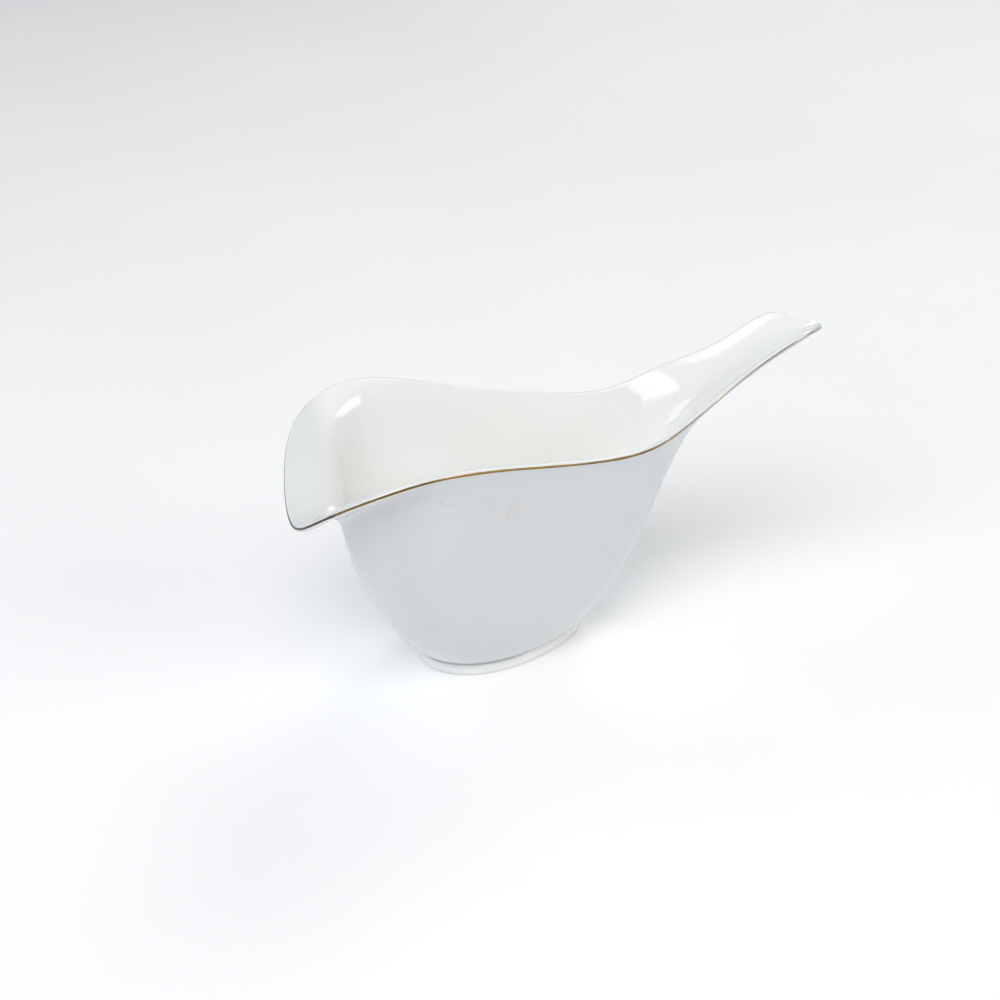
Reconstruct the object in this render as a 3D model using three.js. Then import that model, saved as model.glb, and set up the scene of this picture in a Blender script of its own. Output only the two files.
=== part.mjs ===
// Porcelain gravy boat with a wide pouring lip, a trough handle that runs on from the rim,
// an egg-shaped foot ring and a gilded rim.
// Millimetres, +Z up. The spout points to -X, the handle to +X, and XZ is the plane of symmetry.
// The origin is on the table, under the middle of the object's overall box.
import * as THREE from 'three';
import { mergeVertices } from 'three/addons/utils/BufferGeometryUtils.js';

// ---- driving dimensions ------------------------------------------------------------------

// Half of the rim, from the tip of the spout to the end of the handle, as the control points
// of a closed cubic spline. The other half is its mirror image in the XZ plane.
const RIM = [
  [-109.4, 0, 66.0],   // tip of the spout
  [-105.3, 21.0, 80.6],
  [-95.4, 40.1, 95.8],
  [-71.6, 47.0, 103.9], // shoulder, the widest place
  [-46.9, 41.0, 99.8],
  [-22.5, 34.8, 92.9],
  [3.0, 32.3, 88.2],
  [27.7, 25.8, 84.7],  // waist, the lowest place beside the handle
  [50.2, 21.0, 95.4],  // root of the handle
  [72.6, 12.7, 103.0],
  [94.8, 15.5, 115.4],
  [105.5, 5.2, 110.9],
  [110.0, 0, 109.5],   // end of the handle
];
// Two loops that pull the wall out on its way from the foot to the rim, one point for each
// station of the bowl.
const LOWER_PULL = [
  [-88.0, 0, 28.0], [-86.0, 16.0, 24.5], [-83.5, 28.0, 24.5], [-70.5, 38.0, 24.0], [-47.0, 38.5, 16.5],
  [-22.5, 32.5, 10.5], [0.5, 28.5, 12.0], [17.0, 21.0, 19.5], [32.0, 13.5, 27.0], [38.0, 0, 29.0],
];
const UPPER_PULL = [
  [-93.5, 0, 63.5], [-88.0, 12.5, 72.5], [-82.5, 26.5, 84.5], [-70.5, 38.0, 89.0], [-47.0, 38.0, 84.5],
  [-23.5, 31.5, 78.0], [2.5, 29.0, 70.0], [27.0, 25.5, 72.0], [33.5, 16.0, 75.0], [29.5, 0, 71.0],
];

const WAIST_STATION = 5;           // rim station from which x only grows towards the handle
const SEAM_STATION = 8;            // rim station where the bowl hands over to the handle
const BOWL_STATIONS = 9;           // the last station crosses the keel of the handle
const RIM_END = RIM.length - 1;
const SEAM_BULGE = 16;             // how far the joint bows out along the keel

const FOOT = { x: -29.5, length: 34.6, width: 21.3, egg: 0.245 };   // outer half axes of the foot
const FOOT_HEIGHT = 4.2;
// Section of the foot ring as inset from the outer edge and height. Its bottom is flat.
const FOOT_SECTION = [
  [1.0, FOOT_HEIGHT], [0.2, 3.1], [0.0, 1.9], [0.3, 0.8], [1.1, 0],
  [3.5, 0], [4.0, 0.6], [4.4, FOOT_HEIGHT],
];
const WALL_START = 1.2;            // the wall starts this far inside the foot's outer edge
const UNDERSIDE_Z = 4.5;
const FLOOR = { x: -31.5, z: 8.0 }; // lowest point of the inside
const FLOOR_START = 0.2;           // fraction of the wall's height at which the floor begins
const FLOOR_EASE = 0.4;            // the higher, the fuller the corner between wall and floor

const KEEL = { z: 93.1, slope: 0.434, endSlope: 0.12 };          // underside of the handle
const FAN_LENGTH = 12;             // rounded stretch at the end of the handle

const SPOUT_LIP = { reach: 17.9, rise: 4.8 };   // how far the lip stands out at the tip
const SIDE_LIP = { reach: 2.0, rise: 3.0 };     // and how far beside the bowl
const LIP_TURN = 16.5;             // the higher, the sharper the wall turns into the lip
const SPOUT_FADE = { from: 0.5, to: 3.9 };      // stations over which the spout's lip turns plain
const LIP_FADE_START = 6.5;        // station from which the lip fades towards the joint

const LIP_THICKNESS = 2.3;
const WALL_THICKNESS = 3.2;
const KEEL_THICKNESS = 3.0;
const JOINT_GAP = 0.3;

// The gold line: its clearance and thickness, the part of the rounded edge that it covers, how far
// its middle is tilted up from level, and the share of its width left between its bevels.
const GILDING = { lift: 0.05, thickness: 0.25, halfAngle: 0.5, tilt: 0.25, bevel: 0.9 };

// ---- how finely each piece is divided ----------------------------------------------------

const COLUMNS_PER_STATION = 4;
const WALL_ROWS = 12;
const ROW_CROWDING = 1.6;          // above 1, the rows lie closer together towards the rim
const FLOOR_ROWS = 4;
const CAP_STEPS = 4;
const HANDLE_ROWS = 8;
const HANDLE_SIDE_COLUMNS = 9;
const HANDLE_FAN_COLUMNS = 7;
const FOOT_COLUMNS = 64;
const HALVINGS = 40;
const STATION_STEP = 0.001;        // for slopes along the rim
const SMALLEST_TRIANGLE = 1e-7;
const MERGE_DISTANCE = 1e-4;

// ---- curves ------------------------------------------------------------------------------

const vec = (x, y, z) => new THREE.Vector3(x, y, z);
const mirrored = (p) => vec(p.x, -p.y, p.z);

function smoothStep(from, to, x) {
  const t = THREE.MathUtils.clamp((x - from) / (to - from), 0, 1);
  return t * t * (3 - 2 * t);
}

// Closed uniform cubic spline through half a loop of control points and its mirror image.
function closedSpline(half) {
  const points = half.map(([x, y, z]) => vec(x, y, z));
  const loop = [...points, ...points.slice(1, -1).reverse().map(mirrored)];
  return (u) => {
    const span = Math.floor(u);
    const t = u - span;
    const weights = [
      (1 - t) ** 3,
      3 * t ** 3 - 6 * t ** 2 + 4,
      -3 * t ** 3 + 3 * t ** 2 + 3 * t + 1,
      t ** 3,
    ];
    const point = vec(0, 0, 0);
    weights.forEach((weight, k) => {
      const control = loop[(span - 1 + k + loop.length) % loop.length];
      point.addScaledVector(control, weight / 6);
    });
    return point;
  };
}

const rim = closedSpline(RIM);
const lowerPull = closedSpline(LOWER_PULL);
const upperPull = closedSpline(UPPER_PULL);
const SEAM_X = rim(SEAM_STATION).x;
const HANDLE_END = rim(RIM_END);

// Egg-shaped loop of the foot, drawn in by inset; angle 0 is the back, PI the front.
function footPoint(angle, inset, z) {
  const x = FOOT.x + (FOOT.length - inset) * Math.cos(angle);
  const y = (FOOT.width - inset) * Math.sin(angle) * (1 - FOOT.egg * Math.cos(angle));
  return vec(x, y, z);
}

// ---- the handle's underside --------------------------------------------------------------

// Height of the keel line: a cubic from the joint to the end of the handle, carried on as a
// parabola where the joint bows back towards the rim.
function keelHeight(x) {
  const start = SEAM_X + SEAM_BULGE;
  const run = HANDLE_END.x - start;
  const rise = HANDLE_END.z - KEEL.z;
  const t = (x - start) / run;
  if (t < 0) {
    const bend = 3 * rise / run ** 2 - (2 * KEEL.slope + KEEL.endSlope) / run;
    return KEEL.z + KEEL.slope * (x - start) + bend * (x - start) ** 2;
  }
  const ease = 3 * t ** 2 - 2 * t ** 3;
  const leave = (t ** 3 - 2 * t ** 2 + t) * run * KEEL.slope;
  const arrive = (t ** 3 - t ** 2) * run * KEEL.endSlope;
  return KEEL.z + ease * rise + leave + arrive;
}

// The station of the rim at a given x, on the handle side of the waist, found by halving.
function rimStationAtX(x) {
  let low = WAIST_STATION;
  let high = RIM_END;
  for (let step = 0; step < HALVINGS; step += 1) {
    const middle = (low + high) / 2;
    if (rim(middle).x < x) low = middle;
    else high = middle;
  }
  return low;
}

// A point of the underside at x, with across running from 0 on the keel to 1 on the edge.
function troughPoint(x, across) {
  const edge = rim(rimStationAtX(x));
  const keel = keelHeight(x);
  return vec(x, edge.y * across, keel + (edge.z - keel) * across ** 2);
}

// Downward normal of the underside, from the slopes of the trough.
function troughNormal(x, across) {
  const step = 0.2;
  const here = troughPoint(x, across);
  const ahead = troughPoint(x + step, across).sub(troughPoint(x - step, across));
  const edge = rim(rimStationAtX(x));
  const sideSlope = edge.y > 0 ? 2 * (edge.z - keelHeight(x)) * across / edge.y : 0;
  const lengthSlope = (ahead.z - sideSlope * ahead.y) / ahead.x;
  return { point: here, normal: vec(lengthSlope, sideSlope, -1).normalize() };
}

const seamX = (across) => SEAM_X + SEAM_BULGE * (1 - across ** 2);

// ---- the bowl's outer wall ---------------------------------------------------------------

// Everything about one column of the wall, from the foot (t = 0) up to the rim (t = 1).
function wallColumn(u) {
  const onRim = u <= SEAM_STATION;
  const across = onRim ? 1 : BOWL_STATIONS - u;
  const joint = troughNormal(seamX(across), across);
  const top = onRim ? rim(u) : joint.point;

  const ahead = rim(Math.min(u, SEAM_STATION) + STATION_STEP);
  const behind = rim(Math.min(u, SEAM_STATION) - STATION_STEP);
  const inward = vec(ahead.y - behind.y, behind.x - ahead.x, 0).normalize();

  const spout = 1 - smoothStep(SPOUT_FADE.from, SPOUT_FADE.to, u);
  const lip = 1 - smoothStep(LIP_FADE_START, SEAM_STATION, u);
  const reach = THREE.MathUtils.lerp(SIDE_LIP.reach, SPOUT_LIP.reach, spout) * lip;
  const rise = THREE.MathUtils.lerp(SIDE_LIP.rise, -SPOUT_LIP.rise, spout) * lip;
  const lipOffset = inward.multiplyScalar(-reach).setZ(rise);

  const shoulder = top.clone().sub(lipOffset);
  const foot = footPoint(Math.PI * (1 - u / BOWL_STATIONS), WALL_START, UNDERSIDE_Z);
  const lower = lowerPull(u);
  const upper = upperPull(u);
  // Near the joint the wall arrives in the tangent plane of the handle's underside.
  const { normal } = joint;
  const tangentZ = shoulder.z
    - (normal.x * (upper.x - shoulder.x) + normal.y * (upper.y - shoulder.y)) / normal.z;
  upper.z = THREE.MathUtils.lerp(upper.z, tangentZ, smoothStep(SEAM_STATION - 1, SEAM_STATION, u));
  return { foot, lower, upper, shoulder, lipOffset, across };
}

function wallPoint(column, t) {
  const s = 1 - t;
  return vec(0, 0, 0)
    .addScaledVector(column.foot, s ** 3)
    .addScaledVector(column.lower, 3 * s ** 2 * t)
    .addScaledVector(column.upper, 3 * s * t ** 2)
    .addScaledVector(column.shoulder, t ** 3)
    .addScaledVector(column.lipOffset, t ** LIP_TURN);
}

function wallNormal(u, t) {
  const du = 0.01;
  const dt = 0.002;
  const low = Math.max(t - dt, 0);
  const high = Math.min(t + dt, 1);
  const left = wallColumn(Math.abs(u - du));
  const right = wallColumn(Math.min(u + du, BOWL_STATIONS));
  const leftPoint = wallPoint(left, t);
  const rightPoint = wallPoint(right, t);
  if (u === 0) leftPoint.y = -leftPoint.y;
  if (u === BOWL_STATIONS) rightPoint.copy(mirrored(leftPoint));
  const here = wallColumn(u);
  const along = rightPoint.sub(leftPoint);
  const up = wallPoint(here, high).sub(wallPoint(here, low));
  return up.cross(along).normalize();
}

// ---- the rounded edge --------------------------------------------------------------------

// Frame of the lip at a place on the rim: out is the outer face's normal, and over points from
// the wall across its edge, both square to the rim. Away points level, out of the object.
function lipFrame(u, edge, normal) {
  const along = rim(u + STATION_STEP).sub(rim(u - STATION_STEP)).normalize();
  const out = normal.clone().addScaledVector(along, -normal.dot(along)).normalize();
  const over = along.clone().cross(out);
  const away = vec(-along.y, along.x, 0).normalize();
  return { out, over, away, centre: edge.clone().addScaledVector(out, -LIP_THICKNESS / 2) };
}

function aroundLip(frame, radius, angle) {
  return frame.centre.clone()
    .addScaledVector(frame.out, radius * Math.cos(angle))
    .addScaledVector(frame.over, radius * Math.sin(angle));
}

function lipCap(frame) {
  const points = [];
  for (let k = 1; k < CAP_STEPS; k += 1) {
    points.push(aroundLip(frame, LIP_THICKNESS / 2, Math.PI * k / CAP_STEPS));
  }
  return points;
}

// ---- closed bodies -----------------------------------------------------------------------

// Collects triangles, leaves out the ones that shrink to a line, and closes the body.
class Body {
  constructor() {
    this.corners = [];
  }

  triangle(a, b, c) {
    const area = b.clone().sub(a).cross(c.clone().sub(a)).length() / 2;
    if (area > SMALLEST_TRIANGLE) this.corners.push(a, b, c);
  }

  quad(a, b, c, d) {
    this.triangle(a, b, c);
    this.triangle(a, c, d);
  }

  // Quads between neighbouring lines of points; wrap joins the last line to the first.
  skin(lines, wrap) {
    const count = wrap ? lines.length : lines.length - 1;
    for (let i = 0; i < count; i += 1) {
      const line = lines[i];
      const next = lines[(i + 1) % lines.length];
      for (let k = 0; k + 1 < line.length; k += 1) {
        this.quad(line[k], next[k], next[k + 1], line[k + 1]);
      }
    }
  }

  geometry() {
    let volume = 0;
    for (let i = 0; i < this.corners.length; i += 3) {
      const [a, b, c] = this.corners.slice(i, i + 3);
      volume += a.dot(b.clone().cross(c)) / 6;
    }
    const corners = volume > 0 ? this.corners : this.corners.slice().reverse();
    const raw = new THREE.BufferGeometry().setFromPoints(corners);
    const merged = mergeVertices(raw, MERGE_DISTANCE);
    merged.computeVertexNormals();
    return merged;
  }
}

// The lines of one side and their mirror images, as one loop round the object.
function aroundBothSides(lines) {
  const other = lines.slice(1, -1).reverse().map((line) => line.map(mirrored));
  return [...lines, ...other];
}

// ---- bowl --------------------------------------------------------------------------------

// One line of the bowl's skin: up the outside, over the edge, down the inside to the floor.
function bowlLine(u, flatEnd) {
  const column = wallColumn(u);
  const heights = [];
  for (let k = 0; k <= WALL_ROWS; k += 1) {
    heights.push(1 - (1 - k / WALL_ROWS) ** ROW_CROWDING);
  }
  const edgeThickness = LIP_THICKNESS
    + (KEEL_THICKNESS - LIP_THICKNESS) * (1 - column.across ** 2);
  const inside = (t) => {
    const thickness = THREE.MathUtils.lerp(WALL_THICKNESS, edgeThickness, t ** 2);
    return wallPoint(column, t).addScaledVector(wallNormal(u, t), -thickness);
  };

  const outer = heights.map((t) => wallPoint(column, t));
  const inner = heights.filter((t) => t >= FLOOR_START).reverse().map(inside);
  const edge = outer[outer.length - 1];
  const cap = lipCap(lipFrame(Math.min(u, SEAM_STATION), edge, wallNormal(u, 1)));
  const straight = cap.map((_, k) => edge.clone().lerp(inner[0], (k + 1) / CAP_STEPS));

  // The floor leaves the wall along the wall's own direction and arrives level at its middle.
  const pole = vec(FLOOR.x, 0, FLOOR.z);
  const last = inner[inner.length - 1];
  const down = last.clone().sub(inner[inner.length - 2]).normalize();
  const reach = last.distanceTo(pole) * FLOOR_EASE;
  const middle = vec(last.x - pole.x, last.y, 0).setLength(reach).add(pole);
  const corner = last.clone().addScaledVector(down, reach);
  const floor = new THREE.CubicBezierCurve3(last, corner, middle, pole);
  const floorPoints = floor.getPoints(FLOOR_ROWS).slice(1);

  const underside = vec(FLOOR.x, 0, UNDERSIDE_Z);
  return [underside, ...outer, ...(flatEnd ? straight : cap), ...inner, ...floorPoints];
}

function makeBowl() {
  const lines = [];
  for (let k = 0; k <= SEAM_STATION * COLUMNS_PER_STATION; k += 1) {
    lines.push(bowlLine(k / COLUMNS_PER_STATION, false));
  }
  // The edge is cut off flat where it meets the handle.
  for (let k = 0; k <= HANDLE_ROWS; k += 1) {
    lines.push(bowlLine(SEAM_STATION + k / HANDLE_ROWS, true));
  }
  const body = new Body();
  body.skin(aroundBothSides(lines), true);
  return body.geometry();
}

// ---- handle ------------------------------------------------------------------------------

// Points and normals of the underside from the keel out to the edge, for one station.
function handleSideLine(edgeX) {
  const fanX = HANDLE_END.x - FAN_LENGTH;
  const bow = SEAM_BULGE * (1 - smoothStep(SEAM_X, fanX, edgeX));
  const line = [];
  for (let k = 0; k <= HANDLE_ROWS; k += 1) {
    const across = k / HANDLE_ROWS;
    line.push(troughNormal(edgeX + bow * (1 - across ** 2), across));
  }
  return line;
}

// The same for a line that fans out from the end of the keel to a place on the rounded end.
function handleFanPoint(u, across) {
  const edge = rim(u);
  const hub = HANDLE_END.x - FAN_LENGTH;
  const x = hub + (edge.x - hub) * across;
  return vec(x, edge.y * across, keelHeight(x) + (edge.z - keelHeight(edge.x)) * across ** 2);
}

function handleFanLine(u) {
  const step = 0.01;
  const nearest = 5 * step;
  const line = [];
  for (let k = 0; k <= HANDLE_ROWS; k += 1) {
    const across = k / HANDLE_ROWS;
    const point = handleFanPoint(u, across);
    const probe = Math.max(across, nearest);
    const outward = handleFanPoint(u, probe + step).sub(handleFanPoint(u, probe - step));
    const ahead = handleFanPoint(Math.min(u + step, RIM_END), probe);
    const behind = handleFanPoint(u - step, probe);
    if (u === RIM_END) ahead.copy(mirrored(behind));
    const normal = outward.cross(behind.sub(ahead)).normalize();
    if (normal.z > 0) normal.negate();
    if (k === 0) normal.copy(troughNormal(point.x, 0).normal);
    line.push({ point, normal });
  }
  return line;
}

// Stations of the handle on one side: along its straight side, then round its end.
function handleStations() {
  const fanX = HANDLE_END.x - FAN_LENGTH;
  const startX = SEAM_X + JOINT_GAP;
  const stations = [];
  for (let k = 0; k < HANDLE_SIDE_COLUMNS; k += 1) {
    const x = THREE.MathUtils.lerp(startX, fanX, k / HANDLE_SIDE_COLUMNS);
    stations.push({ u: rimStationAtX(x), line: handleSideLine(x) });
  }
  const fanStart = rimStationAtX(fanX);
  for (let k = 0; k <= HANDLE_FAN_COLUMNS; k += 1) {
    const u = THREE.MathUtils.lerp(fanStart, RIM_END, k / HANDLE_FAN_COLUMNS);
    stations.push({ u, line: handleFanLine(u) });
  }
  return stations;
}

function handleLine({ u, line }) {
  const under = line.map(({ point }) => point);
  const above = line.map(({ point, normal }, k) => {
    const thickness = THREE.MathUtils.lerp(KEEL_THICKNESS, LIP_THICKNESS, (k / HANDLE_ROWS) ** 2);
    return point.clone().addScaledVector(normal, -thickness);
  });
  const edge = line[HANDLE_ROWS];
  const cap = lipCap(lipFrame(u, edge.point, edge.normal));
  return [...under, ...cap, ...above.reverse()];
}

function makeHandle() {
  const side = handleStations().map(handleLine);
  const other = side.slice(0, -1).reverse().map((line) => line.map(mirrored));
  const body = new Body();
  body.skin([...side, ...other], false);

  // The end face at the joint, between the underside and the trough, on both sides.
  const [start] = side;
  const topOf = (k) => start[start.length - 1 - k];
  const rightFace = [];
  for (let k = 0; k < HANDLE_ROWS; k += 1) {
    rightFace.push([start[k], start[k + 1], topOf(k + 1)], [start[k], topOf(k + 1), topOf(k)]);
  }
  for (let k = HANDLE_ROWS; k + 2 < start.length - HANDLE_ROWS; k += 1) {
    rightFace.push([start[HANDLE_ROWS], start[k + 1], start[k + 2]]);
  }
  for (const [a, b, c] of rightFace) {
    body.triangle(a, b, c);
    body.triangle(mirrored(a), mirrored(c), mirrored(b));
  }
  return body.geometry();
}

// ---- foot ring ---------------------------------------------------------------------------

function makeFootRing() {
  const lines = [];
  for (let k = 0; k < FOOT_COLUMNS; k += 1) {
    const angle = 2 * Math.PI * k / FOOT_COLUMNS;
    const section = FOOT_SECTION.map(([inset, z]) => footPoint(angle, inset, z));
    lines.push([...section, section[0]]);
  }
  const body = new Body();
  body.skin(lines, true);
  return body.geometry();
}

// ---- gilding -----------------------------------------------------------------------------

// The band follows the outermost part of the rounded edge all the way round.
function gildingSection({ u, edge, normal }) {
  const frame = lipFrame(u, edge, normal);
  const aim = frame.away.clone().setZ(GILDING.tilt);
  const middle = Math.atan2(aim.dot(frame.over), aim.dot(frame.out));
  const inner = LIP_THICKNESS / 2 + GILDING.lift;
  const outer = inner + GILDING.thickness;
  const { bevel } = GILDING;
  const corners = [
    [inner, -1], [inner, 0], [inner, 1], [outer, bevel], [outer, 0], [outer, -bevel],
  ];
  const section = corners.map(([radius, side]) => (
    aroundLip(frame, radius, middle + side * GILDING.halfAngle)
  ));
  return [...section, section[0]];
}

function makeGilding() {
  const places = [];
  for (let k = 0; k < SEAM_STATION * COLUMNS_PER_STATION; k += 1) {
    const u = k / COLUMNS_PER_STATION;
    places.push({ u, edge: rim(u), normal: wallNormal(u, 1) });
  }
  for (const { u, line } of handleStations()) {
    const { point, normal } = line[HANDLE_ROWS];
    places.push({ u, edge: point, normal });
  }
  const body = new Body();
  body.skin(aroundBothSides(places.map(gildingSection)), true);
  return body.geometry();
}

// ---- the assembly ------------------------------------------------------------------------

const porcelain = { color: 0xe9ebe9, roughness: 0.12, metalness: 0 };
const gold = { color: 0x7a623a, roughness: 0.3, metalness: 1 };

function piece(name, geometry, finish) {
  const mesh = new THREE.Mesh(geometry, new THREE.MeshStandardMaterial(finish));
  mesh.name = name;
  return mesh;
}

const gravyBoat = new THREE.Group();
gravyBoat.add(
  piece('bowl', makeBowl(), porcelain),
  piece('handle', makeHandle(), porcelain),
  piece('foot_ring', makeFootRing(), porcelain),
  piece('rim_gilding', makeGilding(), gold),
);

export default gravyBoat;
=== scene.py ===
import bpy
import numpy as np
from mathutils import Matrix, Vector


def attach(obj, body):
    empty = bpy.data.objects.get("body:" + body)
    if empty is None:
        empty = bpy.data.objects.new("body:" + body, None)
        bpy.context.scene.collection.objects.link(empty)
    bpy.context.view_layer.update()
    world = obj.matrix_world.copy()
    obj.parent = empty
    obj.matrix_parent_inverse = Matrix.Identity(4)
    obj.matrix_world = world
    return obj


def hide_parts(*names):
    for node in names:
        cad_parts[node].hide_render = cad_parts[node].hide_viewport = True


# Looks of a porcelain gravy boat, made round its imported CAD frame. The spout points to -X, the
# handle to +X and XZ is the plane of symmetry. The surface is the CAD model's own, drawn finely:
# its driving dimensions are repeated here in millimetres, and meshes are made in metres.
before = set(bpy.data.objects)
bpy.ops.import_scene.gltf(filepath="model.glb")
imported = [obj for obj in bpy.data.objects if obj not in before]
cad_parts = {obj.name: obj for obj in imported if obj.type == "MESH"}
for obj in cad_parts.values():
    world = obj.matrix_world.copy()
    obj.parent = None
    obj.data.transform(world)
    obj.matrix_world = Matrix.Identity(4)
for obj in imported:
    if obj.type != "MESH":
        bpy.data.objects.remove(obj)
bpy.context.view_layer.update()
MM = 0.001
MIRROR = np.array([1.0, -1.0, 1.0])

# ---- driving dimensions, in millimetres --------------------------------------------------

# Half of the rim, from the tip of the spout to the end of the handle, as the control points
# of a closed cubic spline. The other half is its mirror image in the XZ plane.
RIM = [
    (-109.4, 0, 66.0),  # tip of the spout
    (-105.3, 21.0, 80.6),
    (-95.4, 40.1, 95.8),
    (-71.6, 47.0, 103.9),  # shoulder, the widest place
    (-46.9, 41.0, 99.8),
    (-22.5, 34.8, 92.9),
    (3.0, 32.3, 88.2),
    (27.7, 25.8, 84.7),  # waist, the lowest place beside the handle
    (50.2, 21.0, 95.4),  # root of the handle
    (72.6, 12.7, 103.0),
    (94.8, 15.5, 115.4),
    (105.5, 5.2, 110.9),
    (110.0, 0, 109.5),  # end of the handle
]
# Two loops that pull the wall out on its way from the foot to the rim, one point for each
# station of the bowl.
LOWER_PULL = [
    (-88.0, 0, 28.0), (-86.0, 16.0, 24.5), (-83.5, 28.0, 24.5), (-70.5, 38.0, 24.0),
    (-47.0, 38.5, 16.5), (-22.5, 32.5, 10.5), (0.5, 28.5, 12.0), (17.0, 21.0, 19.5),
    (32.0, 13.5, 27.0), (38.0, 0, 29.0),
]
UPPER_PULL = [
    (-93.5, 0, 63.5), (-88.0, 12.5, 72.5), (-82.5, 26.5, 84.5), (-70.5, 38.0, 89.0),
    (-47.0, 38.0, 84.5), (-23.5, 31.5, 78.0), (2.5, 29.0, 70.0), (27.0, 25.5, 72.0),
    (33.5, 16.0, 75.0), (29.5, 0, 71.0),
]
SEARCH_START = 5  # rim station, well ahead of the handle, where the search for an x begins
SEAM_STATION = 8  # rim station where the bowl hands over to the handle
BOWL_STATIONS = 9  # the last station crosses the keel of the handle
RIM_END = len(RIM) - 1
SEAM_BULGE = 16  # how far the joint bows out along the keel

# The foot's outer edge: its middle, half its length and width, and how much narrower it gets
# towards the back.
FOOT_X, FOOT_LENGTH, FOOT_WIDTH, FOOT_EGG = -29.5, 34.6, 21.3, 0.245
WALL_START = 1.2  # the wall starts this far inside the foot's outer edge
UNDERSIDE_Z = 4.5
# Painted light on the roll of the foot: from this height down it takes the inside's lighter colour,
# and this is to what share.
FOOT_ROLL_TOP, FOOT_PAINTED_LIGHT = 3.7, 0.85
FLOOR_POLE = np.array([-31.5, 0.0, 8.0])  # lowest point of the inside
FLOOR_START = 0.2  # fraction of the wall's height at which the floor begins
FLOOR_EASE = 0.4  # the higher, the fuller the corner between wall and floor
# Section of the foot ring as inset from the outer edge and height; its corners are rounded off.
FOOT_SECTION = [
    (WALL_START, UNDERSIDE_Z), (0.8, 4.35), (0.35, 3.6), (0.05, 2.6), (0.0, 1.4), (0.2, 0.35),
    (0.9, 0.0), (3.4, 0.0), (4.1, 0.8), (4.5, 3.4), (5.0, UNDERSIDE_Z), (6.2, UNDERSIDE_Z),
]

# The keel, the lowest line of the handle's underside: its height and slope at the joint, and
# its slope at the end.
KEEL_Z, KEEL_SLOPE, KEEL_END_SLOPE = 93.1, 0.434, 0.12
FAN_LENGTH = 12  # rounded stretch at the end of the handle
SPOUT_LIP_REACH, SPOUT_LIP_RISE = 17.9, 4.8  # how far the lip stands out at the tip
SIDE_LIP_REACH, SIDE_LIP_RISE = 2.0, 3.0  # and how far beside the bowl
LIP_TURN = 16.5  # the higher, the sharper the wall turns into the lip
SPOUT_FADE = (0.5, 3.9)  # stations over which the spout's lip turns plain
LIP_FADE_START = 6.5  # station from which the lip fades towards the joint
LIP_THICKNESS, WALL_THICKNESS, KEEL_THICKNESS = 2.3, 3.2, 3.0

# The gold line: how far it sinks into the glaze and stands out of it, half the angle that it
# covers of the rounded edge, how much that wavers, and the slope at which its middle faces up.
GOLD_SINK, GOLD_RISE = 0.04, 0.05
GOLD_HALF_ANGLE, GOLD_WAVER, GOLD_TILT = 0.37, 0.05, 0.25
GOLD_WAVES = [(1.0, 5.3, 0.0), (0.7, 12.1, 1.3), (0.5, 29.7, 0.4)]  # size, rate and start

# ---- how finely each piece is divided ----------------------------------------------------

COLUMNS_PER_STATION = 14
WALL_ROWS = 60
ROW_CROWDING = 1.6  # above 1, the rows lie closer together towards the rim
FLOOR_ROWS = 14
CAP_STEPS = 10
HANDLE_ROWS = 24
HANDLE_SIDE_COLUMNS = 60
HANDLE_FAN_COLUMNS = 30
FOOT_ROUNDINGS = 3
GOLD_STEPS = 8
HALVINGS = 40
STATION_STEP = 0.001  # for slopes along the rim
WELD_GRID, SHADING_GRID = 1e5, 1e4  # steps to the millimetre; points on one step are the same

# ---- curves ------------------------------------------------------------------------------


def smooth_step(low, high, x):
    t = np.clip((x - low) / (high - low), 0, 1)
    return t * t * (3 - 2 * t)


def unit(v):
    return v / np.linalg.norm(v, axis=-1, keepdims=True)


def lerp(a, b, t):
    return a + (b - a) * t


def xyz(x, y, z):
    return np.stack(np.broadcast_arrays(x, y, z), axis=-1).astype(float)


def closed_spline(half):
    """Closed uniform cubic spline through half a loop of control points and its mirror image."""
    half = np.array(half, float)
    loop = np.vstack([half, half[-2:0:-1] * MIRROR])

    def at(u):
        span = np.floor(u).astype(int)
        t = (np.asarray(u) - span)[..., None]
        weights = [(1 - t) ** 3, 3 * t**3 - 6 * t**2 + 4, -3 * t**3 + 3 * t**2 + 3 * t + 1, t**3]
        return sum(w * loop[(span - 1 + k) % len(loop)] for k, w in enumerate(weights)) / 6

    return at


rim = closed_spline(RIM)
lower_pull = closed_spline(LOWER_PULL)
upper_pull = closed_spline(UPPER_PULL)
SEAM_X = rim(np.array(float(SEAM_STATION)))[0]
HANDLE_END = rim(np.array(float(RIM_END)))


def foot_point(angle, inset, z):
    """Egg-shaped loop of the foot, drawn in by inset; angle 0 is the back, pi the front."""
    x = FOOT_X + (FOOT_LENGTH - inset) * np.cos(angle)
    y = (FOOT_WIDTH - inset) * np.sin(angle) * (1 - FOOT_EGG * np.cos(angle))
    return xyz(x, y, z)


# ---- the handle's underside --------------------------------------------------------------


def keel_height(x):
    """Height of the keel line: a cubic from the joint to the end of the handle, carried on as
    a parabola where the joint bows back towards the rim."""
    start = SEAM_X + SEAM_BULGE
    run = HANDLE_END[0] - start
    rise = HANDLE_END[2] - KEEL_Z
    t = (x - start) / run
    bend = 3 * rise / run**2 - (2 * KEEL_SLOPE + KEEL_END_SLOPE) / run
    parabola = KEEL_Z + KEEL_SLOPE * (x - start) + bend * (x - start) ** 2
    ease = (3 * t**2 - 2 * t**3) * rise
    leave = (t**3 - 2 * t**2 + t) * run * KEEL_SLOPE
    arrive = (t**3 - t**2) * run * KEEL_END_SLOPE
    return np.where(t < 0, parabola, KEEL_Z + ease + leave + arrive)


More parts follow.
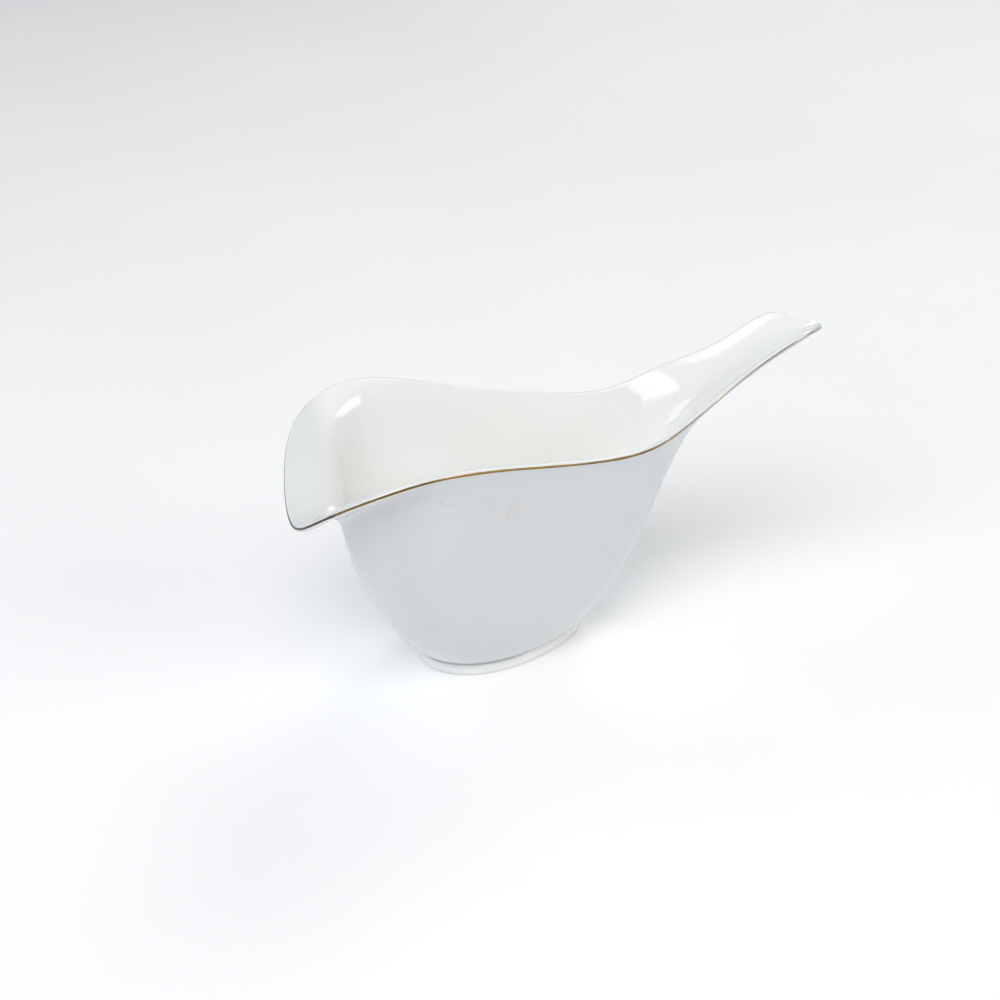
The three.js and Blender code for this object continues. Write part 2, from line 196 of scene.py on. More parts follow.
def rim_station_at_x(x):
    """The station of the rim at a given x on the handle, found by halving."""
    low = np.full(np.shape(x), float(SEARCH_START))
    high = np.full(np.shape(x), float(RIM_END))
    for _ in range(HALVINGS):
        middle = (low + high) / 2
        before = rim(middle)[..., 0] < x
        low = np.where(before, middle, low)
        high = np.where(before, high, middle)
    return low


def trough_point(x, across):
    """A point of the underside at x, with across running from 0 on the keel to 1 on the edge."""
    edge = rim(rim_station_at_x(x))
    keel = keel_height(x)
    return xyz(x, edge[..., 1] * across, keel + (edge[..., 2] - keel) * across**2)


def trough_normal(x, across):
    """The same point with the underside's downward normal, from the slopes of the trough."""
    step = 0.2
    ahead = trough_point(x + step, across) - trough_point(x - step, across)
    edge = rim(rim_station_at_x(x))
    side_slope = 2 * (edge[..., 2] - keel_height(x)) * across / np.maximum(edge[..., 1], step)
    length_slope = (ahead[..., 2] - side_slope * ahead[..., 1]) / ahead[..., 0]
    return trough_point(x, across), unit(xyz(length_slope, side_slope, -1))


def seam_x(across):
    return SEAM_X + SEAM_BULGE * (1 - across**2)


# ---- the bowl's outer wall ---------------------------------------------------------------


def wall_columns(u):
    """Control points of the wall's columns at stations u, from the foot up to the rim, and how
    far from the keel each column stands in the joint, 1 being on the rim."""
    across = np.where(u <= SEAM_STATION, 1, BOWL_STATIONS - u)
    joint, normal = trough_normal(seam_x(across), across)
    on_rim = np.minimum(u, SEAM_STATION)
    top = np.where((u <= SEAM_STATION)[:, None], rim(on_rim), joint)
    along = rim(on_rim + STATION_STEP) - rim(on_rim - STATION_STEP)
    inward = unit(xyz(along[:, 1], -along[:, 0], 0))

    spout = 1 - smooth_step(*SPOUT_FADE, u)
    lip = 1 - smooth_step(LIP_FADE_START, SEAM_STATION, u)
    reach = lerp(SIDE_LIP_REACH, SPOUT_LIP_REACH, spout) * lip
    rise = lerp(SIDE_LIP_RISE, -SPOUT_LIP_RISE, spout) * lip
    lip_offset = inward * -reach[:, None]
    lip_offset[:, 2] = rise

    shoulder = top - lip_offset
    foot = foot_point(np.pi * (1 - u / BOWL_STATIONS), WALL_START, UNDERSIDE_Z)
    upper = upper_pull(u)
    # Near the joint the wall arrives in the tangent plane of the handle's underside.
    level = normal[:, 0] * (upper[:, 0] - shoulder[:, 0])
    level = level + normal[:, 1] * (upper[:, 1] - shoulder[:, 1])
    tangent_z = shoulder[:, 2] - level / normal[:, 2]
    near_joint = smooth_step(SEAM_STATION - 1, SEAM_STATION, u)
    upper[:, 2] = lerp(upper[:, 2], tangent_z, near_joint)
    return [foot, lower_pull(u), upper, shoulder, lip_offset], across


def wall_points(columns, t):
    """Grid of points of the outer wall, one line of heights t for each column: a cubic up to
    the shoulder, and over it the lip, which sets in late."""
    s = 1 - t
    weights = [s**3, 3 * s**2 * t, 3 * s * t**2, t**3, t**LIP_TURN]
    return sum(c[:, None, :] * w[None, :, None] for c, w in zip(columns, weights))


def wall_normals(u, t):
    """Outward normals of the same grid."""
    du, dt = 0.01, 0.002
    left = wall_points(wall_columns(np.abs(u - du))[0], t)
    right = wall_points(wall_columns(np.minimum(u + du, BOWL_STATIONS))[0], t)
    left[u == 0] *= MIRROR
    right[u == BOWL_STATIONS] = left[u == BOWL_STATIONS] * MIRROR
    here = wall_columns(u)[0]
    up = wall_points(here, np.minimum(t + dt, 1)) - wall_points(here, np.maximum(t - dt, 0))
    return unit(np.cross(up, right - left))


# ---- the rounded edge --------------------------------------------------------------------


def lip_frames(u, edge, normal):
    """Middles and frames of the lip: out is the outer face's normal, over points from the wall
    across its edge, both square to the rim. Away points level, out of the object."""
    along = unit(rim(u + STATION_STEP) - rim(u - STATION_STEP))
    out = unit(normal - along * np.sum(normal * along, axis=-1, keepdims=True))
    over = np.cross(along, out)
    away = unit(xyz(-along[:, 1], along[:, 0], 0))
    return edge - out * LIP_THICKNESS / 2, out, over, away


def around_lip(frames, radius, angle):
    """Points at one radius round the middle of the lip, a line of angles for each frame."""
    centre, out, over, _ = (part[:, None, :] for part in frames)
    turn = np.atleast_2d(angle)[..., None]
    return centre + radius * (out * np.cos(turn) + over * np.sin(turn))


CAP_ANGLES = np.pi * np.arange(1, CAP_STEPS) / CAP_STEPS

# ---- meshes ------------------------------------------------------------------------------


def both_sides(lines):
    """The lines of one side and their mirror images, as one loop round the object."""
    return np.concatenate([lines, lines[-2:0:-1] * MIRROR])


def grid_faces(columns, rows, wrap):
    """Quads between neighbouring lines of points; wrap joins the last line to the first."""
    first = np.arange(columns if wrap else columns - 1)
    i, k = (part.ravel() for part in np.meshgrid(first, np.arange(rows - 1), indexing="ij"))
    j = (i + 1) % columns
    return np.stack([i * rows + k, j * rows + k, j * rows + k + 1, i * rows + k + 1], axis=1)


def welded(points, faces, flat, inside):
    """Points merged where they meet and faces without the corners that this repeats. Flat marks
    faces, and inside says how far each point lies on the inner side, from 0 to 1."""
    keys = np.round(points * WELD_GRID).astype(np.int64)
    _, first, index = np.unique(keys, axis=0, return_index=True, return_inverse=True)
    index = index.ravel()
    kept, kept_flat = [], []
    for face, is_flat in zip(faces, flat):
        corners = list(dict.fromkeys(int(index[c]) for c in face))
        if len(corners) > 2:
            kept.append(corners)
            kept_flat.append(bool(is_flat))
    points = points[first]
    volume = sum(
        np.dot(points[f[0]], np.cross(points[f[k]], points[f[k + 1]]))
        for f in kept for k in range(1, len(f) - 1)
    )
    if volume < 0:
        kept = [f[::-1] for f in kept]
    return {"points": points, "faces": kept, "flat": kept_flat, "inside": inside.ravel()[first]}


def face_normal(points, face):
    """Normal of a face, as long as twice its area."""
    a, b, c = points[face[0]], points[face[1]], points[face[2]]
    d = points[face[-1]]
    return np.cross(c - a, d - b) if len(face) > 3 else np.cross(b - a, c - a)


def shade_together(shapes):
    """Corner normals that run smoothly over every place where the shapes meet. Flat faces, such
    as the ones inside a joint, keep their own."""
    every = np.concatenate([shape["points"] for shape in shapes])
    _, index = np.unique(np.round(every * SHADING_GRID).astype(np.int64), axis=0, return_inverse=True)
    index = index.ravel()
    total = np.zeros((index.max() + 1, 3))
    start = 0
    for shape in shapes:
        shape["shared"] = index[start:start + len(shape["points"])]
        start += len(shape["points"])
        for face, is_flat in zip(shape["faces"], shape["flat"]):
            if not is_flat:
                total[shape["shared"][face]] += face_normal(shape["points"], face)
    for shape in shapes:
        corners = []
        for face, is_flat in zip(shape["faces"], shape["flat"]):
            if is_flat:
                corners += [face_normal(shape["points"], face)] * len(face)
            else:
                corners += list(total[shape["shared"][face]])
        shape["normals"] = unit(np.array(corners))


def add_piece(name, shape, material, nodes):
    """A visual piece that rides on the root body and stands in for the named CAD nodes."""
    mesh = bpy.data.meshes.new(name)
    mesh.from_pydata((shape["points"] * MM).tolist(), [], shape["faces"])
    mesh.shade_smooth()
    mesh.normals_split_custom_set(shape["normals"].tolist())
    inside = mesh.attributes.new("inside", "FLOAT", "POINT")
    inside.data.foreach_set("value", shape["inside"].astype(np.float32))
    mesh.materials.append(material)
    piece = bpy.data.objects.new(name, mesh)
    bpy.context.scene.collection.objects.link(piece)
    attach(piece, "root")
    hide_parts(*nodes)
    return piece


# ---- the shapes --------------------------------------------------------------------------

rim_columns = np.arange(SEAM_STATION * COLUMNS_PER_STATION + 1) / COLUMNS_PER_STATION
keel_to_edge = np.arange(HANDLE_ROWS + 1) / HANDLE_ROWS
seam_columns = SEAM_STATION + keel_to_edge


def bowl_lines(u, flat_end):
    """Lines of the bowl's skin: up the outside, over the edge, down the inside to the floor."""
    columns, across = wall_columns(u)
    heights = 1 - (1 - np.arange(WALL_ROWS + 1) / WALL_ROWS) ** ROW_CROWDING
    outer = wall_points(columns, heights)
    inside = heights[heights >= FLOOR_START][::-1]
    edge_thickness = lerp(KEEL_THICKNESS, LIP_THICKNESS, across**2)[:, None]
    thickness = lerp(WALL_THICKNESS, edge_thickness, inside[None, :] ** 2)
    normals = wall_normals(u, inside)
    if flat_end:
        normals[:, 0] = trough_normal(seam_x(across), across)[1]
    inner = wall_points(columns, inside) - normals * thickness[:, :, None]
    edge = outer[:, -1]
    if flat_end:
        share = (np.arange(1, CAP_STEPS) / CAP_STEPS)[None, :, None]
        cap = lerp(edge[:, None, :], inner[:, :1], share)
    else:
        cap = around_lip(lip_frames(u, edge, normals[:, 0]), LIP_THICKNESS / 2, CAP_ANGLES)

    # The floor leaves the wall along the wall's own direction and arrives level at its middle.
    last = inner[:, -1]
    reach = FLOOR_EASE * np.linalg.norm(last - FLOOR_POLE, axis=1, keepdims=True)
    corner = last + unit(last - inner[:, -2]) * reach
    middle = FLOOR_POLE + unit((last - FLOOR_POLE) * [1, 1, 0]) * reach
    t = (np.arange(1, FLOOR_ROWS + 1) / FLOOR_ROWS)[None, :, None]
    weights = [(1 - t) ** 3, 3 * (1 - t) ** 2 * t, 3 * (1 - t) * t**2, t**3]
    ends = [last, corner, middle, np.broadcast_to(FLOOR_POLE, last.shape)]
    floor = sum(end[:, None, :] * w for end, w in zip(ends, weights))

    underside = np.broadcast_to([FLOOR_POLE[0], 0, UNDERSIDE_Z], (len(u), 1, 3))
    return np.concatenate([underside, outer, cap, inner, floor], axis=1)


def bowl_shape():
    """The bowl, cut off flat where it meets the handle and where it meets the foot ring."""
    lines = np.concatenate([bowl_lines(rim_columns, False), bowl_lines(seam_columns, True)])
    loop = both_sides(lines)
    columns, rows = loop.shape[:2]
    faces = grid_faces(columns, rows, True)
    column, row = faces[:, 0] // rows, faces[:, 0] % rows
    past_rim = (column >= len(rim_columns) - 1) & (column <= columns - len(rim_columns))
    in_joint = past_rim & (row > WALL_ROWS) & (row <= WALL_ROWS + CAP_STEPS)
    inside = np.clip((np.arange(rows) - 1 - WALL_ROWS) / CAP_STEPS, 0, 1)
    inside = np.broadcast_to(inside, (columns, rows))
    return welded(loop.reshape(-1, 3), faces, in_joint | (row == 0), inside)


def handle_side_line(edge_x):
    """Points and normals of the underside from the keel out to the edge at one x. The line is
    bowed like the joint at first, and straightens towards the end of the handle."""
    bow = SEAM_BULGE * (1 - smooth_step(SEAM_X, HANDLE_END[0] - FAN_LENGTH, edge_x))
    return trough_normal(edge_x + bow * (1 - keel_to_edge**2), keel_to_edge)


def fan_point(u, across):
    """Points of the underside on lines that fan out from the keel to the rounded end, at
    stations u of the rim."""
    edge = rim(u)
    hub = HANDLE_END[0] - FAN_LENGTH
    x = hub + (edge[..., 0] - hub) * across
    rise = edge[..., 2] - keel_height(edge[..., 0])
    return xyz(x, edge[..., 1] * across, keel_height(x) + rise * across**2)


def handle_fan_line(u):
    """Points and normals of one of these lines, with the normals taken a little off the keel,
    where the lines have parted, and on the keel itself from the trough."""
    step = 0.01
    nearest = 5 * step
    station = np.full(keel_to_edge.shape, u)
    point = fan_point(station, keel_to_edge)
    probe = np.maximum(keel_to_edge, nearest)
    outward = fan_point(station, probe + step) - fan_point(station, probe - step)
    behind = fan_point(station - step, probe)
    ahead = behind * MIRROR
    if u < RIM_END:
        ahead = fan_point(np.minimum(station + step, RIM_END), probe)
    normal = unit(np.cross(outward, behind - ahead))
    normal = np.where(normal[:, 2:] > 0, -normal, normal)
    normal[0] = trough_normal(point[:1, 0], np.zeros(1))[1][0]
    return point, normal


def handle_stations():
    """Rim stations and underside lines of one side of the handle, then round its end."""
    fan_x = HANDLE_END[0] - FAN_LENGTH
    xs = lerp(SEAM_X, fan_x, np.arange(HANDLE_SIDE_COLUMNS) / HANDLE_SIDE_COLUMNS)
    stations = [(float(rim_station_at_x(x)), *handle_side_line(x)) for x in xs]
    fan_start = float(rim_station_at_x(np.array(fan_x)))
    for k in range(HANDLE_FAN_COLUMNS + 1):
        u = lerp(fan_start, float(RIM_END), k / HANDLE_FAN_COLUMNS)
        stations.append((u, *handle_fan_line(u)))
    return [np.array(part) for part in zip(*stations)]


def handle_shape():
    """The handle: underside, rounded edge and trough, closed by a flat face at the joint."""
    u, under, normals = handle_stations()
    thickness = lerp(KEEL_THICKNESS, LIP_THICKNESS, keel_to_edge**2)
    above = under - normals * thickness[None, :, None]
    frames = lip_frames(u, under[:, -1], normals[:, -1])
    cap = around_lip(frames, LIP_THICKNESS / 2, CAP_ANGLES)
    side = np.concatenate([under, cap, above[:, ::-1]], axis=1)
    lines = np.concatenate([side, side[-2::-1] * MIRROR])
    columns, rows = lines.shape[:2]
    faces = grid_faces(columns, rows, False).tolist()
    flat = [False] * len(faces)

    # The end face at the joint, between the underside and the trough, on both sides.
    for first, turn in ((0, 1), ((columns - 1) * rows, -1)):
        for k in range(HANDLE_ROWS):
            faces.append([first + c for c in (k, k + 1, rows - 2 - k, rows - 1 - k)][::turn])
        for k in range(HANDLE_ROWS + 1, rows - HANDLE_ROWS - 2):
            faces.append([first + c for c in (HANDLE_ROWS, k, k + 1)][::turn])
    flat += [True] * (len(faces) - len(flat))
    inside = np.clip((np.arange(rows) - HANDLE_ROWS) / CAP_STEPS, 0, 1)
    return welded(lines.reshape(-1, 3), faces, flat, np.broadcast_to(inside, (columns, rows)))


def rounded_section(corners, times):
    """An open line with its corners cut off at a quarter of each side, again and again. Its two
    ends stay."""
    line = np.array(corners, float)
    for _ in range(times):
        a, b = line[:-1], line[1:]
        cut = np.stack([lerp(a, b, 0.25), lerp(a, b, 0.75)], axis=1).reshape(-1, 2)
        line = np.vstack([line[:1], cut[1:-1], line[-1:]])
    return line


def foot_shape():
    """The foot ring, its section carried round the egg, with a flat top against the bowl."""
    section = rounded_section(FOOT_SECTION, FOOT_ROUNDINGS)
    u = np.concatenate([rim_columns, seam_columns[1:]])
    angle = np.pi * (1 - u / BOWL_STATIONS)
    lines = foot_point(angle[:, None], section[None, :, 0], section[None, :, 1])
    loop = both_sides(lines)
    loop = np.concatenate([loop, loop[:, :1]], axis=1)
    columns, rows = loop.shape[:2]
    faces = grid_faces(columns, rows, True)
    # Painted light: the roll of the foot gets part of the inside's lighter colour.
    inside = FOOT_PAINTED_LIGHT * smooth_step(UNDERSIDE_Z, FOOT_ROLL_TOP, loop[..., 2])
    return welded(loop.reshape(-1, 3), faces, faces[:, 0] % rows == rows - 2, inside)


def gold_shape():
    """A thin band on the outermost part of the rounded edge, all the way round."""
    u = rim_columns[:-1]
    handle_u, under, normals = handle_stations()
    edge = np.concatenate([rim(u), under[:, -1]])
    normal = np.concatenate([wall_normals(u, np.ones(1))[:, 0], normals[:, -1]])
    u = np.concatenate([u, handle_u])
    frames = lip_frames(u, edge, normal)
    _, out, over, away = frames
    aim = away + [0, 0, GOLD_TILT]
    middle = np.arctan2(np.sum(aim * over, axis=1), np.sum(aim * out, axis=1))[:, None]
    waver = sum(size * np.sin(rate * u + start) for size, rate, start in GOLD_WAVES)
    half = (GOLD_HALF_ANGLE + GOLD_WAVER * waver / 2)[:, None]
    side = np.linspace(-1, 1, GOLD_STEPS + 1)[None, :]
    outer = around_lip(frames, LIP_THICKNESS / 2 + GOLD_RISE, middle + half * side)
    inner = around_lip(frames, LIP_THICKNESS / 2 - GOLD_SINK, middle - half * side)
    lines = np.concatenate([outer, inner, outer[:, :1]], axis=1)
    loop = both_sides(lines)
    columns, rows = loop.shape[:2]
    faces = grid_faces(columns, rows, True)
    outside = np.zeros((columns, rows))
    return welded(loop.reshape(-1, 3), faces, faces[:, 0] % rows >= GOLD_STEPS, outside)


# ---- materials ---------------------------------------------------------------------------


class Nodes:
    """Short calls for the nodes of one material or world."""

    def __init__(self, owner):
        owner.use_nodes = True
        self.tree = owner.node_tree
        self.tree.nodes.clear()

    def add(self, kind, inputs=(), **settings):
        node = self.tree.nodes.new(kind)
        for name, value in settings.items():
            setattr(node, name, value)
        for name, value in dict(inputs).items():
            if isinstance(value, bpy.types.NodeSocket):
                self.tree.links.new(value, node.inputs[name])
            else:
                node.inputs[name].default_value = value
        return node

    def math(self, operation, a, b):
        return self.add("ShaderNodeMath", {0: a, 1: b}, operation=operation).outputs[0]

    def axes(self, vector):
        return self.add("ShaderNodeSeparateXYZ", {"Vector": vector}).outputs

    def remap(self, value, low, high, to_low=0.0, to_high=1.0):
        inputs = {
            "Value": value, "From Min": low, "From Max": high, "To Min": to_low, "To Max": to_high,
        }
        return self.add("ShaderNodeMapRange", inputs, interpolation_type="SMOOTHSTEP").outputs[0]

    def ramp(self, place, start, end, at_start=1.0, at_end=0.0):
        """A soft ramp along an axis, from start to end in millimetres."""
        return self.remap(place, start * MM, end * MM, at_start, at_end)

    def mix(self, share, a, b):
        node = self.add("ShaderNodeMix", data_type="RGBA")
        for socket, value in zip([node.inputs[0], node.inputs[6], node.inputs[7]], [share, a, b]):
            if isinstance(value, bpy.types.NodeSocket):
                self.tree.links.new(value, socket)
            else:
                socket.default_value = value
        return node.outputs[2]

    def noise(self, place, scale, detail=2.0, roughness=0.5):
        inputs = {"Vector": place, "Scale": scale, "Detail": detail, "Roughness": roughness}
        return self.add("ShaderNodeTexNoise", inputs).outputs["Fac"]

    def bump(self, height, distance, normal=None):
        inputs = {"Height": height, "Distance": distance, "Strength": 1.0}
        if normal is not None:
            inputs["Normal"] = normal
        return self.add("ShaderNodeBump", inputs).outputs["Normal"]


# Porcelain. Colours are linear, with an alpha of 1, and places are in millimetres.
# The outside's darker grey and the inside's lighter cream are partly the glaze's own tones, partly
# painted shade and painted light.
OUTSIDE_COOL = (0.662, 0.69, 0.71, 1)
OUTSIDE_WARM = (0.687, 0.70, 0.702, 1)
INSIDE_COOL = (0.925, 0.935, 0.915, 1)
INSIDE_WARM = (0.94, 0.935, 0.90, 1)
# Painted shade on the inside of the spout's flare: a greyer colour in place of less light there.
FLARE_PAINTED_SHADE = (0.785, 0.80, 0.79, 1)
FLARE_X = (-93, -80)  # full colour up to the first, none from the second
BISCUIT = (0.62, 0.57, 0.49, 1)
BISCUIT_Z = (0.1, 0.45)  # the same for the unglazed ring under the foot
BISCUIT_ROUGHNESS = 0.6  # on top of the glaze's
SPECK = (0.10, 0.075, 0.05, 1)
SPECK_STRENGTH, SPECK_FADE = 0.6, 2.2  # how strong a speck is, and how many radii out it ends
# Two sizes of specks: cells to the metre, radius in cells, share of the cells without a speck.
SPECKS = [(55.0, 0.013, 0.82), (140.0, 0.016, 0.93)]
SMUDGE = (0.66, 0.53, 0.47, 1)
SCUFF = (0.42, 0.38, 0.36, 1)
MARK_CORE = 0.2  # share of a mark's radius over which it has its full strength
# Faint marks of use on the outside of the -Y wall: place and radius in millimetres, strength.
SMUDGES = [
    ((-48.5, -38.8, 87.0), 3.0, 0.16), ((-44.0, -37.6, 83.0), 5.0, 0.20),
    ((-39.0, -36.4, 77.0), 4.5, 0.22), ((-34.5, -35.4, 79.5), 6.0, 0.24),
    ((-20.5, -32.2, 70.8), 1.9, 0.30), ((-23.3, -32.5, 66.1), 1.6, 0.16),
    ((-10.5, -29.8, 58.0), 3.5, 0.10),
]
SCUFFS = [
    ((-45.4, -39.4, 95.8), 0.9, 0.40), ((-49.9, -40.4, 96.7), 1.1, 0.20),
    ((-17.3, -30.9, 56.4), 0.5, 0.50), ((-7.7, -29.3, 54.1), 0.4, 0.35),
    ((-31.5, -33.2, 53.5), 0.4, 0.25), ((-38.6, -33.0, 38.9), 0.35, 0.25),
    ((-20.6, -28.0, 27.0), 0.45, 0.40), ((-63.6, -39.9, 90.8), 1.0, 0.30),
]
SCRATCH_ENDS = ((-68.9, -39.8, 93.9), (-57.7, -39.5, 87.6))
SCRATCH_DOTS, SCRATCH_RADIUS, SCRATCH_STRENGTH = 13, 0.75, 0.18


def porcelain():
    material = bpy.data.materials.new("porcelain")
    n = Nodes(material)
    place = n.add("ShaderNodeTexCoord").outputs["Object"]
    axes = n.axes(place)

    # Clouds of cooler and warmer glaze, greyer and darker outside, creamier and lighter inside:
    # partly the glaze's own tones, partly painted shade outside and painted light inside.
    clouds = n.remap(n.noise(place, scale=14.0, detail=3.0), 0.35, 0.65)
    inside = n.add("ShaderNodeAttribute", attribute_name="inside").outputs["Fac"]
    outer_glaze = n.mix(clouds, OUTSIDE_COOL, OUTSIDE_WARM)
    colour = n.mix(inside, outer_glaze, n.mix(clouds, INSIDE_COOL, INSIDE_WARM))
    # Painted shade: on the inside of the spout's flare the colour is greyer, standing in for less
    # light falling there.
    flare = n.ramp(axes["X"], *FLARE_X)
    colour = n.mix(n.math("MULTIPLY", flare, inside), colour, FLARE_PAINTED_SHADE)

    # Iron specks: a small dark dot in some of the cells of a cell pattern.
    for scale, radius, share in SPECKS:
        cells = n.add("ShaderNodeTexVoronoi", {"Vector": place, "Scale": scale})
        pick = n.add("ShaderNodeSeparateColor", {"Color": cells.outputs["Color"]}).outputs[0]
        dot = n.remap(cells.outputs["Distance"], radius, radius * SPECK_FADE, 1.0, 0.0)
        speck = n.math("MULTIPLY", dot, n.math("GREATER_THAN", pick, share))
        colour = n.mix(n.math("MULTIPLY", speck, SPECK_STRENGTH), colour, SPECK)

    # Marks of use, broken up by a fine noise.
    ragged = n.remap(n.noise(place, scale=420.0, detail=4.0, roughness=0.65), 0.3, 0.6)
    start, end = (np.array(corner) for corner in SCRATCH_ENDS)
    shares = np.linspace(0, 1, SCRATCH_DOTS)
    scratch = [(lerp(start, end, t), SCRATCH_RADIUS, SCRATCH_STRENGTH) for t in shares]
    for tint, marks in ((SMUDGE, SMUDGES), (SCUFF, SCUFFS + scratch)):
        for middle, radius, strength in marks:
            inputs = {0: place, 1: tuple(value * MM for value in middle)}
            far = n.add("ShaderNodeVectorMath", inputs, operation="DISTANCE").outputs["Value"]
            spot = n.remap(far, MARK_CORE * radius * MM, radius * MM, strength, 0.0)
            colour = n.mix(n.math("MULTIPLY", spot, ragged), colour, tint)

    # The dry ring under the foot, where the glaze was wiped off.
    dry = n.ramp(axes["Z"], *BISCUIT_Z)
    colour = n.mix(dry, colour, BISCUIT)

    patchy = n.noise(place, scale=60.0, detail=4.0, roughness=0.6)
    gloss = n.remap(patchy, 0.3, 0.7, to_low=0.06, to_high=0.12)
    roughness = n.math("ADD", gloss, n.math("MULTIPLY", dry, BISCUIT_ROUGHNESS))

    # The surface is a little uneven, and finely pitted like orange peel.
    wave = n.bump(n.noise(place, scale=22.0, detail=1.0), 0.25 * MM)
    peel = n.bump(n.noise(place, scale=420.0), 0.004 * MM, wave)
    shader = n.add("ShaderNodeBsdfPrincipled", {
        "Base Color": colour, "Roughness": roughness, "Normal": peel, "IOR": 1.58,
    })
    n.add("ShaderNodeOutputMaterial", {"Surface": shader.outputs[0]})
    return material


# Gilding, darkest at the spout, where gravy runs, and rubbed pale on the handle: the colours, how
# far each goes, and from which x to which x in millimetres it comes or goes.
GOLD_BRIGHT = (0.31, 0.205, 0.075, 1)
GOLD_DULL = (0.17, 0.115, 0.05, 1)
GOLD_WORN = (0.60, 0.53, 0.48, 1)
GOLD_DARK = (0.075, 0.06, 0.055, 1)
SPOUT_DARKNESS, SPOUT_DARK_X = 0.9, (-107, -96)
HANDLE_WEAR, HANDLE_WEAR_X = 0.85, (20, 50)


def gilding():
    material = bpy.data.materials.new("gilding")
    n = Nodes(material)
    place = n.add("ShaderNodeTexCoord").outputs["Object"]
    tarnish = n.remap(n.noise(place, scale=45.0, detail=4.0, roughness=0.6), 0.38, 0.62)
    wear = n.remap(n.noise(place, scale=260.0, detail=5.0, roughness=0.7), 0.58, 0.7)
    along = n.axes(place)["X"]
    at_spout = n.ramp(along, *SPOUT_DARK_X, SPOUT_DARKNESS, 0.0)
    at_handle = n.ramp(along, *HANDLE_WEAR_X, 0.0, HANDLE_WEAR)
    colour = n.mix(tarnish, GOLD_BRIGHT, GOLD_DULL)
    colour = n.mix(at_spout, colour, GOLD_DARK)
    colour = n.mix(n.math("MAXIMUM", at_handle, wear), colour, GOLD_WORN)
    patchy = n.noise(place, scale=150.0, detail=4.0)
    roughness = n.remap(patchy, 0.3, 0.7, to_low=0.26, to_high=0.48)
    brushed = n.bump(n.noise(place, scale=900.0, detail=3.0), 0.01 * MM)
    shader = n.add("ShaderNodeBsdfPrincipled", {
        "Base Color": colour, "Metallic": 1.0, "Roughness": roughness, "Normal": brushed,
    })
    n.add("ShaderNodeOutputMaterial", {"Surface": shader.outputs[0]})
    return material


PAPER_DARK = (0.90, 0.90, 0.90, 1)
PAPER_LIGHT = (0.93, 0.93, 0.93, 1)
PAPER_GLOW = 0.1  # a little light of its own, to come near the photo's white ground


def floor_paper():
    material = bpy.data.materials.new("floor_paper")
    n = Nodes(material)
    place = n.add("ShaderNodeTexCoord").outputs["Object"]
    shade = n.remap(n.noise(place, scale=3.0, detail=3.0), 0.3, 0.7)
    colour = n.mix(shade, PAPER_DARK, PAPER_LIGHT)
    grain = n.bump(n.noise(place, scale=700.0, detail=3.0), 0.02 * MM)
    shader = n.add("ShaderNodeBsdfPrincipled", {
        "Base Color": colour, "Roughness": 0.75, "Normal": grain,
        "Emission Color": (1, 1, 1, 1), "Emission Strength": PAPER_GLOW,
    })
    n.add("ShaderNodeOutputMaterial", {"Surface": shader.outputs[0]})
    return material


# ---- the pieces --------------------------------------------------------------------------

glaze = porcelain()
gold = gilding()
body_shapes = [bowl_shape(), handle_shape(), foot_shape()]
shade_together(body_shapes)
gold_line = gold_shape()
shade_together([gold_line])

for name, shape in zip(("bowl", "handle", "foot_ring"), body_shapes):
    add_piece(name + "_glazed", shape, glaze, [name])
add_piece("gold_line", gold_line, gold, ["rim_gilding"])

# ---- the studio, in metres ---------------------------------------------------------------

FLOOR_HALF = 6.0  # half a side of the square floor
BOAT_MIDDLE = Vector((0.0, 0.0, 0.07))  # what the soft boxes face

# Name, place, size, power in watts and colour of each soft box.
SOFT_BOXES = [
    ("key_box", (-1.07, -0.84, 1.40), (1.5, 1.25), 18.3, (0.955, 0.975, 1.0)),
    ("front_box", (-0.36, -0.94, 1.8), (1.3, 1.1), 10.3, (1.0, 0.94, 0.95)),
    ("side_box", (1.3, -1.1, 0.9), (1.0, 0.8), 9.5, (0.98, 1.0, 0.97)),
    ("back_left_box", (-1.3, 1.2, 1.3), (1.0, 0.8), 5.2, (0.94, 0.95, 1.0)),
    ("back_right_box", (1.2, 1.2, 1.3), (1.0, 0.8), 10.8, (1.0, 0.95, 0.91)),
]
SKY_FRONT = (0.12, 0.12, 0.12, 1)
SKY_BACK = (0.22, 0.35, 0.45, 1)
SKY_TOP = (0.15, 0.15, 0.15, 1)

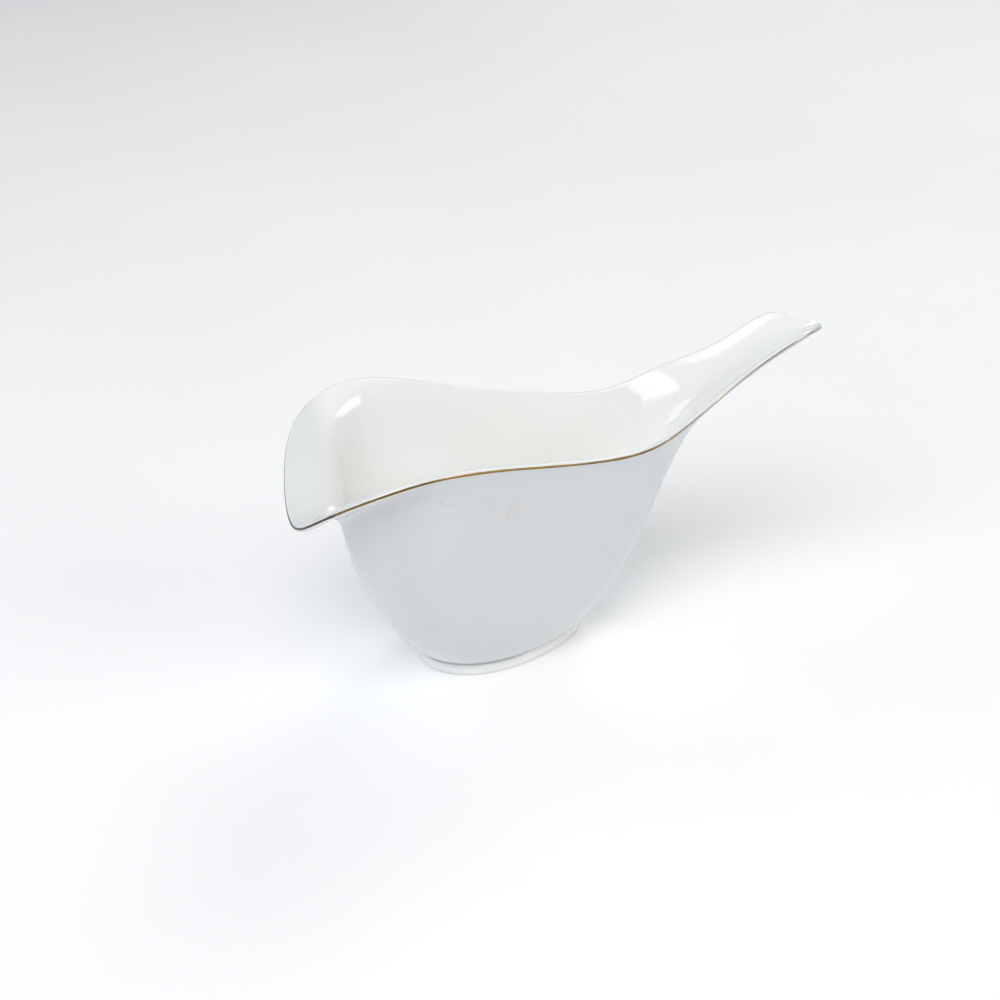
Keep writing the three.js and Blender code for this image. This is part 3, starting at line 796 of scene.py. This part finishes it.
# The photo's camera: where it stands, which way its right and its up are, and its lens and
# sensor in millimetres.
CAMERA_PLACE = Vector((-0.21056, -0.50276, 0.36608))
CAMERA_RIGHT = Vector((0.93324, -0.35796, -0.03037))
CAMERA_UP = Vector((0.20111, 0.45051, 0.86983))
CAMERA_LENS, CAMERA_SENSOR = 57.6, 36.0


def studio_floor():
    mesh = bpy.data.meshes.new("studio_floor")
    corners = [(-1, -1), (1, -1), (1, 1), (-1, 1)]
    mesh.from_pydata([(x * FLOOR_HALF, y * FLOOR_HALF, 0) for x, y in corners], [], [(0, 1, 2, 3)])
    mesh.materials.append(floor_paper())
    floor = bpy.data.objects.new("studio_floor", mesh)
    bpy.context.scene.collection.objects.link(floor)


def soft_box(name, place, size, power, colour):
    light = bpy.data.lights.new(name, "AREA")
    light.shape = "RECTANGLE"
    light.size, light.size_y = size
    light.energy = power
    light.color = colour
    box = bpy.data.objects.new(name, light)
    box.location = place
    box.rotation_euler = (BOAT_MIDDLE - Vector(place)).to_track_quat("-Z", "Y").to_euler()
    bpy.context.scene.collection.objects.link(box)


def surroundings():
    """A dim grey dome that is brighter and bluer low down behind the boat."""
    world = bpy.data.worlds.new("studio")
    bpy.context.scene.world = world
    n = Nodes(world)
    direction = n.axes(n.add("ShaderNodeTexCoord").outputs["Generated"])
    behind = n.remap(direction["Y"], -0.7, 0.7)
    overhead = n.remap(direction["Z"], 0.1, 0.9)
    colour = n.mix(overhead, n.mix(behind, SKY_FRONT, SKY_BACK), SKY_TOP)
    shader = n.add("ShaderNodeBackground", {"Color": colour, "Strength": 1.0})
    n.add("ShaderNodeOutputWorld", {"Surface": shader.outputs[0]})


def camera():
    data = bpy.data.cameras.new("camera")
    data.lens = CAMERA_LENS
    data.sensor_width = CAMERA_SENSOR
    data.clip_start = 0.01
    view = bpy.data.objects.new("camera", data)
    back = CAMERA_RIGHT.cross(CAMERA_UP)
    axes = Matrix((CAMERA_RIGHT, CAMERA_UP, back)).transposed().to_4x4()
    view.matrix_world = Matrix.Translation(CAMERA_PLACE) @ axes
    bpy.context.scene.collection.objects.link(view)
    bpy.context.scene.camera = view


studio_floor()
for box in SOFT_BOXES:
    soft_box(*box)
surroundings()
camera()
bpy.context.scene.view_settings.view_transform = "Standard"
